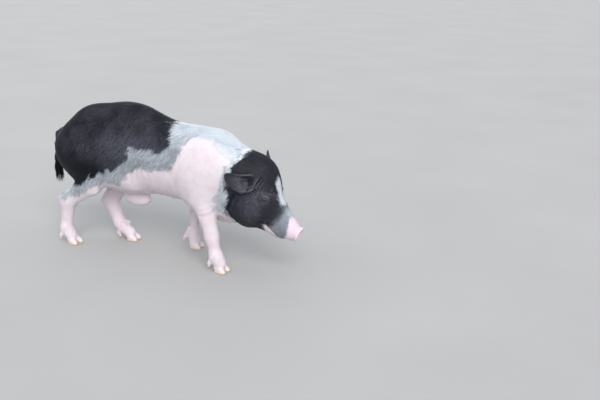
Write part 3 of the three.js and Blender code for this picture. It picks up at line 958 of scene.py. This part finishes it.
class Look:
    """A node material, built a node at a time."""

    def __init__(self, name):
        self.material = bpy.data.materials.new(name)
        self.material.use_nodes = True
        self.tree = self.material.node_tree
        self.shader = self.tree.nodes["Principled BSDF"]

    def put(self, socket, value):
        if isinstance(value, bpy.types.NodeSocket):
            self.tree.links.new(value, socket)
        elif hasattr(value, "__len__") and socket.type == "RGBA":
            socket.default_value = (*value, 1.0)[:4]
        else:
            socket.default_value = value

    def add(self, kind, inputs, out=0, **settings):
        node = self.tree.nodes.new("ShaderNode" + kind)
        for name, value in settings.items():
            setattr(node, name, value)
        for name, value in inputs.items():
            self.put(node.inputs[name], value)
        return node.outputs[out]

    def set(self, **inputs):
        for name, value in inputs.items():
            self.put(self.shader.inputs[name.replace("_", " ").title()], value)

    def gloss(self, level):
        self.put(self.shader.inputs["Specular IOR Level"], level)

    def value(self, name):
        return self.add("Attribute", {}, "Fac", attribute_name=name)

    def math(self, operation, *values):
        return self.add("Math", dict(enumerate(values)), operation=operation)

    def step(self, value, low, high, first=0.0, last=1.0):
        inputs = {"Value": value, "From Min": low, "From Max": high, "To Min": first, "To Max": last}
        return self.add("MapRange", inputs, interpolation_type="SMOOTHSTEP")

    def mix(self, share, a, b):
        return self.add("Mix", {0: share, 6: a, 7: b}, 2, data_type="RGBA")

    def where(self):
        return self.add("TexCoord", {}, "Object")

    def noise(self, vector, scale, detail=2.0, rough=0.5):
        inputs = {"Vector": vector, "Scale": scale, "Detail": detail, "Roughness": rough}
        return self.add("TexNoise", inputs, "Fac")

    def streaks(self, vector, along_way, length, width):
        """Noise drawn out along a direction in the side view; sizes in metres."""
        a, c = along_way
        axes = {"X": (a / length, 0, c / length), "Y": (0, 1 / width, 0), "Z": (c / width, 0, -a / width)}
        drawn_out = {
            name: self.add("VectorMath", {0: vector, 1: axis}, "Value", operation="DOT_PRODUCT")
            for name, axis in axes.items()
        }
        return self.noise(self.add("CombineXYZ", drawn_out), 1.0, 3.0, 0.6)

    def bump(self, height, distance, strength, **before):
        return self.add("Bump", {"Height": height, "Distance": distance, "Strength": strength, **before})

    def on(self, *pieces):
        for piece in pieces:
            piece.data.materials.clear()
            piece.data.materials.append(self.material)


PINK = (0.69, 0.56, 0.615)
PALE = (0.725, 0.655, 0.70)
ROSY = (0.72, 0.44, 0.49)
BLUISH = (0.62, 0.68, 0.74)
SNOUT_PINK = (0.70, 0.53, 0.64)
# painted shade: the pink skin is darker in its grooves
PINK_CREASE_SHADE = (0.60, 0.42, 0.47)
INK = (0.014, 0.015, 0.021)
INK_LIGHT = (0.030, 0.032, 0.044)
# painted shade: the dark skin is darker in its grooves
INK_CREASE_SHADE = (0.008, 0.008, 0.011)
# painted highlight: the dark skin is lighter on its ridges, and round the eyes
INK_RIDGE_HIGHLIGHT = (0.11, 0.11, 0.135)
INK_SOFT = (0.112, 0.108, 0.136)  # round the eyes and in the ears


def skin_look():
    look = Look("skin")
    at = look.where()
    broad, fine, tiny = look.noise(at, 28, 3), look.noise(at, 160, 3, 0.6), look.noise(at, 620, 2, 0.6)
    hair = look.streaks(at, (-0.55, -0.83), 0.018, 0.0016)
    ragged = look.math("MULTIPLY_ADD", look.noise(at, 60, 4, 0.65), 30.0, -15.0)
    ragged = look.math("MULTIPLY_ADD", hair, 16.0, look.math("ADD", ragged, -8.0))
    dark = look.step(look.math("ADD", look.value("dark"), ragged), -5.0, 5.0)
    black = look.step(look.math("ADD", look.value("black"), ragged), -7.0, 7.0)
    skin = look.mix(look.step(broad, 0.35, 0.7), PALE, PINK)
    skin = look.mix(look.math("MULTIPLY", look.value("cool"), 0.85), skin, BLUISH)
    skin = look.mix(look.step(fine, 0.45, 0.8, 0.0, 0.25), skin, ROSY)
    skin = look.mix(look.math("MULTIPLY", look.value("bare"), 0.6), skin, SNOUT_PINK)
    tone = look.math("MULTIPLY", look.value("tone"), look.step(hair, 0.4, 0.66, 0.42, 1.0))
    tint = {"Red": 0.84, "Green": 0.92, "Blue": 1.08}
    grey = look.add("CombineColor", {name: look.math("MULTIPLY", tone, part) for name, part in tint.items()})
    ink = look.mix(look.step(hair, 0.45, 0.75), INK, INK_LIGHT)
    soft = look.math("MULTIPLY", look.value("soft"), look.step(fine, 0.3, 0.65, 0.35, 1.0))
    ink = look.mix(soft, ink, INK_SOFT)
    skin = look.mix(dark, skin, look.mix(black, grey, ink))
    crease = look.value("crease")
    # painted shade: darker in the skin's grooves, by the crease value
    skin = look.mix(look.step(crease, 0.05, 0.9, 0.0, 0.75), skin, look.mix(dark, PINK_CREASE_SHADE, INK_CREASE_SHADE))
    # painted highlight: lighter on the skin's ridges, where the crease value is below 0; round the eyes the
    # lids lower it too, which lightens the skin there
    skin = look.mix(look.step(crease, -0.7, -0.05, 0.6, 0.0), skin, look.mix(dark, PALE, INK_RIDGE_HIGHLIGHT))
    height = look.math("MULTIPLY_ADD", hair, 0.6, look.math("MULTIPLY", tiny, 0.5))
    normal = look.bump(height, 0.0009, 0.8, Normal=look.bump(fine, 0.0014, 0.5))
    look.set(base_color=skin, roughness=look.step(fine, 0.3, 0.7, 0.48, 0.64), normal=normal,
             subsurface_weight=0.08, subsurface_scale=0.006, subsurface_radius=(1.0, 0.35, 0.25),
             sheen_weight=0.03, sheen_roughness=0.5)
    look.gloss(look.step(look.value("dark"), -6.0, 6.0, 0.3, 0.16))
    look.on(SKIN)


def horn_look():
    look = Look("horn")
    at = look.where()
    rings = look.add("TexWave", {"Vector": at, "Scale": 90.0, "Distortion": 3.0, "Detail": 2.0}, "Fac",
                     bands_direction="Z")
    height = look.add("SeparateXYZ", {"Vector": look.add("NewGeometry", {}, "Position")}, "Z")
    horn = look.mix(look.noise(at, 90, 3), (0.72, 0.58, 0.45), (0.78, 0.68, 0.60))
    horn = look.mix(look.step(height, 0.0, 0.012, 0.45, 0.0), horn, (0.36, 0.27, 0.19))  # darker within 12 mm of the ground
    look.set(base_color=horn, roughness=0.42, normal=look.bump(rings, 0.0004, 0.6))
    look.on(HORN)


def eye_look():
    """Pupil, iris and white by the angle from the way the eye looks."""
    look = Look("eye")
    at = look.where()
    angle = look.value("angle")
    uneven = look.math("MULTIPLY_ADD", look.noise(at, 900, 3), 6.0, -3.0)
    iris = look.mix(look.noise(at, 1400, 3), (0.012, 0.007, 0.004), (0.040, 0.022, 0.012))
    ball = look.mix(look.step(angle, 19.0, 22.0), (0.002, 0.002, 0.003), iris)
    ball = look.mix(look.step(look.math("ADD", angle, uneven), 40.0, 47.0), ball, (0.13, 0.095, 0.09))
    look.set(base_color=ball, roughness=0.07, coat_weight=0.3, coat_roughness=0.03)
    look.gloss(0.3)
    look.on(*BALLS)


FLOOR = 40.0  # metres from the middle to each side


def make_floor():
    corners = [(-FLOOR, -FLOOR, 0), (FLOOR, -FLOOR, 0), (FLOOR, FLOOR, 0), (-FLOOR, FLOOR, 0)]
    floor = new_piece("floor", np.array(corners, float), np.array([[0, 1, 2, 3]]))
    look = Look("floor")
    at = look.where()
    grey = look.mix(look.noise(at, 1.3, 5), (0.36, 0.357, 0.35), (0.42, 0.417, 0.41))
    look.set(base_color=grey, roughness=0.75, normal=look.bump(look.noise(at, 400, 4), 0.0005, 0.3))
    look.on(floor)


skin_look()
horn_look()
eye_look()
make_floor()


# ---- The coat ----

def roots_on_skin(count):
    """Places spread over the skin by its area, with the skin's normals and the places on its unwrap."""
    points, faces = points_of(SKIN.data), triangles_of(SKIN.data)
    corners = points[faces]
    normals = np.cross(corners[:, 1] - corners[:, 0], corners[:, 2] - corners[:, 0])
    area = np.linalg.norm(normals, axis=1)
    chosen = RNG.choice(len(faces), count, p=area / area.sum())
    a, b = RNG.random((2, count))
    over = a + b > 1
    a, b = np.where(over, 1 - a, a), np.where(over, 1 - b, b)
    share = np.stack([1 - a - b, a, b], 1)
    roots, uv = (np.einsum("nk,nkc->nc", share, values[chosen]) for values in (corners, SKIN_UV))
    return roots, normals[chosen] / area[chosen, None], uv


def one_per_cell(points, size):
    """The first of the points in each cell of a grid, the sizes in metres."""
    cell = np.floor(points / size[:, None] + 1000).astype(np.int64)
    key = (cell[:, 0] * 4096 + cell[:, 1]) * 4096 + cell[:, 2] + (size * 1e6).astype(np.int64) * 2 ** 40
    return np.unique(key, return_index=True)[1]


def lie(places, normals):
    """The way the coat lies, along the skin."""
    x, y, z = places.T
    turn = smooth(0.3, 0.85, np.abs(normals[:, 1]))[:, None]  # from the front of the face to its side
    over_face = mix(np.array((-0.62, 0, 0.78)), np.array((-0.72, 0, -0.69)), turn)
    over_face[:, 1] += 2.2 * (turn * (1 - turn))[:, 0] * np.sign(y)
    along_ears = np.where(y[:, None] > 0, (-0.56, 0.83, 0.1), (-0.78, -0.63, 0.1))
    run = np.array((-0.55, 0, -0.83))
    for way, share in (
        ((-0.12, 0, -1.0), 1 - smooth(230, 310, z)),  # legs
        ((-0.95, 0, 0), (1 - smooth(-0.75, -0.35, normals[:, 2])) * smooth(180, 215, z)),  # belly
        (over_face, smooth(205, 300, x)),
        (along_ears, ear_share(places)),
        ((-0.05, 0, -1.0), (1 - smooth(-735, -715, x)) * (1 - smooth(480, 510, z))),  # tail
    ):
        run = mix(run, np.array(way), share[:, None])
    run = unit(run - normals * np.sum(run * normals, 1)[:, None])
    swirl = (noise(places, 60, 3) - 0.5) * 0.7 + (noise(places, 16, 4) - 0.5) * 0.35
    swirl += RNG.normal(0, 0.11, len(x))
    return run * np.cos(swirl)[:, None] + np.cross(normals, run) * np.sin(swirl)[:, None]


TUFT_SECTION = ((-0.5, 0.0), (0.5, 0.0), (0.0, 0.34))  # two edges and the ridge, across and up
TUFT_POINTS = 7  # a section at the root, one at the middle, and the tip
TUFT_FACES = [(0, 2, 1)]
for a, b in ((0, 1), (1, 2), (2, 0)):
    TUFT_FACES += [(a, b, b + 3), (a, b + 3, a + 3), (a + 3, b + 3, 6)]
UNDERSIDE = slice(1, 4)
PATCH = 0.003  # a tuft's own part of the unwrap
PATCH_UV = np.array([(0, 0), (1, 0), (0.5, 0), (0, 0.5), (1, 0.5), (0.5, 0.5), (0.5, 1)]) * PATCH - PATCH / 2


def tuft_piece(name, roots, normals, runs, length, width, lift, shade, uv, hanging):
    """Closed tapering tufts over the skin, each with its own small patch of the unwrap."""
    count = len(roots)
    side = np.cross(normals, runs)
    offset = FLESH.sample(roots)

    def along_skin(share, height):
        straight = roots + runs * (length * share)[:, None]
        moved = settled(straight, 0.0, 1)
        out = np.where(hanging[:, None], normals, FLESH.slope(moved))
        return np.where(hanging[:, None], straight, settled(moved, offset + height, 1)), out

    middle_at, middle_out = along_skin(0.5, lift * 0.75)
    tip, tip_out = along_skin(1.0, lift)
    points, facing = [], []  # a tuft is shaded like the skin under it, a little rounded
    for at, out, wide in ((roots - normals * 0.0012, normals, width * 0.8), (middle_at, middle_out, width)):
        for a, b in TUFT_SECTION:
            points.append(at + side * (a * wide)[:, None] + out * (b * wide)[:, None])
            facing.append(out + side * (0.7 * a))
    points = np.stack([*points, tip], 1).reshape(-1, 3)
    faces = np.array(TUFT_FACES)[None] + TUFT_POINTS * np.arange(count)[:, None, None]
    faces = faces.reshape(-1, 3)
    piece = new_piece(name, points, faces)
    facing = np.stack([*facing, tip_out], 1).reshape(-1, 3)[faces].reshape(count, len(TUFT_FACES), 3, 3)
    facing[:, UNDERSIDE] *= -1
    facing[:, 0] = -runs[:, None, :]
    piece.data.normals_split_custom_set(unit(facing.reshape(-1, 3)))
    corner_uv = np.clip(uv[:, None, :] + PATCH_UV[None], 0, 1).reshape(-1, 2)[faces.ravel()]
    layer = piece.data.uv_layers.new(name="OFBake")
    layer.data.foreach_set("uv", corner_uv.astype(np.float32).ravel())
    add_value(piece, "shade", np.repeat(shade, TUFT_POINTS))
    add_value(piece, "tip", np.tile([0, 0, 0, 0.5, 0.5, 0.5, 1], count))
    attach(piece, "root")
    return piece


ROOTS_TRIED = 1_500_000
TUFTS_TO_A_PIECE = 19_000
CELL, LENGTH, WIDTH, LIFT, SHARE = range(5)
# The spacing of the tufts, their length, width and lift in millimetres, and the share of them that is kept.
# A later zone goes over an earlier one, and None keeps what is there.
COAT_ZONES = {
    "body": (4.1, 24, 0.75, 0.25, 1.0),
    "dark": (3.8, 30, 1.5, 1.7, None),
    "black": (None, None, 1.8, None, None),
    "head": (3.3, 13, 0.95, 0.6, None),
    "ears": (3.4, 6, 0.85, 0.3, None),
    "muzzle": (2.7, 8, 0.8, 0.5, None),
    "legs": (4.1, 14, 0.6, 0.25, 0.8),
    "feet": (3.9, 8, 0.55, 0.2, None),
    "belly": (5.0, 20, 0.75, 0.3, 0.6),
    "bare": (None, None, None, None, 0.25),
    "ears_inside": (None, None, 0.45, None, 0.4),
    "mane": (3.7, 44, 1.2, 3.5, None),
    "mane_on_head": (3.7, 22, 1.2, None, None),
    "tail": (None, 15, None, 0.5, None),
    "brush": (1.9, 46, 1.3, 2.4, None),
    "eyes": (3.5, 6, 0.6, 0.3, 0.5),
    "lids": (None, 4, 0.5, None, None),
}


def by_zone(zones, column):
    """The value that COAT_ZONES gives at each place."""
    value = 0.0
    for name, row in COAT_ZONES.items():
        if row[column] is not None:
            value = np.where(zones[name], row[column], value)
    return value


def on_head(places):
    x, y, z = places.T
    return (x > 196) | ((x > 150) & (z > 350) & (np.abs(y) > 100))


def coat_zones(places, normals, marks):
    """Which places are in each zone, some of which may overlap."""
    x, y, z = places.T
    count = len(places)
    aside, up, eye = np.abs(y), normals[:, 2], to_eye(places)
    ragged = (noise(places, 24, 1) - 0.5) * 26 + (noise(places, 7, 2) - 0.5) * 12 + RNG.normal(0, 3.5, count)
    ragged *= 1 - 0.58 * smooth(90, 200, x)
    dark = marks["dark"] + ragged > 0
    stray = np.where(x > FACE, 0.75 * (1 - smooth(0.08, 0.5, roan(places))), 0.01)
    black = (marks["black"] + ragged > 0) | (dark & (RNG.random(count) < stray))
    head, ears = on_head(places), ear_share(places) > 0.5
    legs = (z < 190) & (x < 190)
    mane = (up > 0.62) & (x > -200) & (x < 235) & (aside < 62)
    brush = (x < -700) & (z < 345) & (aside < 32)
    pit = np.where(y[:, None] > 0, (254, 99, 419), (254, -99, 401))
    return {
        "body": np.full(count, True),
        "dark": dark,
        "black": black,
        "grey": (dark | (mane & ~head) | (marks["cool"] > 0.5)) & ~black,
        "head": head,
        "ears": ears,
        "muzzle": (x > 335) & (z < 290),
        "legs": legs,
        "feet": legs & (z < 60),
        "belly": (up < -0.45) & (z > 170),
        "bare": marks["bare"] > 0.3,
        "ears_inside": ears & (inner_side(places, normals) > 0.3),
        "ear_pits": np.linalg.norm(places - pit, axis=1) < 15,
        "mane": mane & ~head,
        "mane_on_head": mane & head,
        "tail": (x < -722) & (aside < 34) & ~brush,
        "brush": brush,
        "eyes": eye < 30,
        "lids": eye < 18,
        "slits": eye < 14.5,
    }


def coat_shade(places, normals, zones, creases):
    """How light each tuft is within its colour, from 0 to 1, with painted light and shade in it."""
    x, _, z = places.T
    black, grey = zones["black"], zones["grey"]
    shade = 0.5 + (noise(places, 45, 8) - 0.5) * 0.45 + RNG.normal(0, 0.17, len(x))
    shade -= 0.35 * zones["legs"]
    # lighter round the eyes; and painted light: tufts other than black that face up are lighter
    shade += 0.5 * zones["eyes"] + 0.35 * (normals[:, 2] > 0.55) * ~black
    on_mane = (0.18 + 0.3 * smooth(20, 120, x)) * (zones["mane"] | zones["mane_on_head"])
    neck = smooth(70, 110, x) * (z < 470)
    shade = np.where(grey, 0.24 + 0.42 * shade + on_mane + 0.16 * neck, shade)
    shade = np.where(grey & (x > FACE), roan(places) + (shade - 0.72) * 0.5 + 0.08, shade)
    # painted light on the black coat: a sheen on the flank and the cheek, and shade on the thigh
    sheen_on_flank = np.exp(-((x + 280) / 190) ** 2 - ((z - 470) / 90) ** 2)
    sheen_on_cheek = np.exp(-((x - 262) / 44) ** 2 - ((z - 318) / 62) ** 2)
    shade_on_thigh = (1 - smooth(330, 450, z)) * (1 - smooth(-480, -400, x))
    shade = np.where(black, 0.22 + (shade - 0.5) * 0.55 + 0.38 * sheen_on_flank + 0.7 * sheen_on_cheek - 0.4 * shade_on_thigh, shade)
    # painted shade and highlight: tufts are darker in grooves and lighter on ridges, except on the ears
    return np.clip(shade - 0.45 * np.clip(creases, -1, 1) * ~zones["ears"], 0, 1)


def coat():
    """The coat's pieces by colour."""
    roots, normals, uv = roots_on_skin(ROOTS_TRIED)
    places = drawn(roots)
    to_middle = np.where(on_head(places)[:, None], (-4, 0, -4), (-8, 0, -12))  # from a tuft's root
    marks = markings(places + to_middle)
    zones = coat_zones(places, normals, marks)
    keep = (marks["snout"] < -2 - 6 * RNG.random(len(places))) & (places[:, 2] > 16)
    keep &= RNG.random(len(places)) < by_zone(zones, SHARE)
    kept = np.flatnonzero(keep & ~zones["slits"] & ~zones["ear_pits"])
    kept = kept[one_per_cell(roots[kept], by_zone(zones, CELL)[kept] / 1000)]
    count = len(kept)
    roots, places = roots[kept], places[kept]
    zones = {name: chosen[kept] for name, chosen in zones.items()}
    length = by_zone(zones, LENGTH) / 1000 * RNG.uniform(0.65, 1.15, count)
    width = by_zone(zones, WIDTH) / 1000 * RNG.uniform(0.7, 1.15, count)
    lift = by_zone(zones, LIFT) / 1000 * RNG.uniform(0.5, 1.3, count)
    normals = FLESH.slope(roots)
    runs = lie(places, normals)
    creases = crease(roots)
    shade = coat_shade(places, normals, zones, creases)
    loose = np.array((-0.05, 0.0, -1.0)) + 0.14 * normals + RNG.normal(0, 0.05, (count, 3))
    hanging = zones["brush"]
    tufts = {
        "roots": roots,
        "normals": normals,
        "runs": np.where(hanging[:, None], unit(loose), runs),
        "length": length,
        "width": width,
        "lift": lift,
        "shade": shade,
        "uv": uv[kept],
        "hanging": hanging,
    }
    shown = ~(zones["ears"] & (creases < -0.35))  # no tufts on the ears' rims, where they would stand off
    black, grey = zones["black"], zones["grey"]
    pieces = {}
    for colour, chosen in (("black", black), ("grey", grey), ("white", ~black & ~grey)):
        index = np.flatnonzero(chosen & shown)
        index = index[np.argsort(places[index, 0])]
        chunks = np.array_split(index, math.ceil(len(index) / TUFTS_TO_A_PIECE))
        pieces[colour] = [
            tuft_piece(f"coat_{colour}_{k + 1}", **{key: values[chunk] for key, values in tufts.items()})
            for k, chunk in enumerate(chunks)
        ]
    return pieces


def coat_look(name, dull, light, root, roughness):
    look = Look("coat_" + name)
    uneven = look.math("MULTIPLY_ADD", look.noise(look.where(), 700, 2), 0.3, -0.15)
    shade = look.math("ADD", look.value("shade"), uneven)
    colour = look.mix(look.step(shade, 0.05, 0.95), dull, light)
    colour = look.mix(look.step(look.value("tip"), 0.0, 0.6, 0.6, 0.0), colour, root)
    look.set(base_color=colour, roughness=roughness, sheen_weight=0.04, sheen_roughness=0.5)
    look.gloss(0.15)
    look.on(*COAT[name])


COAT = coat()
coat_look("black", (0.003, 0.004, 0.007), (0.105, 0.107, 0.140), (0.008, 0.009, 0.013), 0.45)
coat_look("grey", (0.07, 0.08, 0.105), (0.76, 0.82, 0.88), (0.20, 0.225, 0.27), 0.5)
coat_look("white", (0.63, 0.59, 0.62), (0.745, 0.725, 0.745), (0.67, 0.59, 0.635), 0.5)
